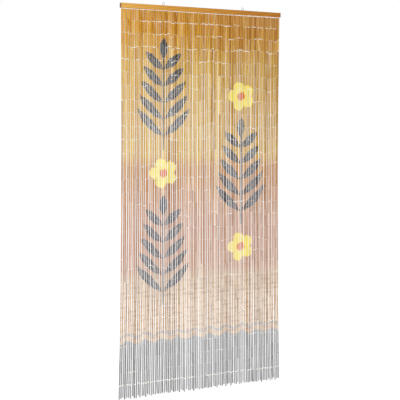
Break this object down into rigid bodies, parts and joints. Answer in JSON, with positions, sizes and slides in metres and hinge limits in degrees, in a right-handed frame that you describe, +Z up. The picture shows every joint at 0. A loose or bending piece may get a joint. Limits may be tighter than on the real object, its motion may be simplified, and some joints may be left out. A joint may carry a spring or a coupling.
{
  "type": "bamboo tube door curtain with its wooden rail",
  "caption": "String curtain for a doorway: rows of printed bamboo tubes threaded on strings under a stained wooden rail, hung by screw eyes.",
  "frame": {"origin": "middle of the rail's top face, in length and in depth", "axes": "+X along the rail to the right as seen from the front, +Y to the back, +Z up"},
  "size_m": [0.9267, 0.018, 2.0226],
  "materials": {
    "stained_wood": "satin varnish over an amber stain",
    "steel_wire": "zinc plated wire",
    "printed_bamboo": "satin, printed in soft bands"
  },
  "bodies": {
    "root": {"rail": "stained_wood", "eye_left": "steel_wire", "eye_right": "steel_wire", "strands": "printed_bamboo"}
  },
  "joints": []
}
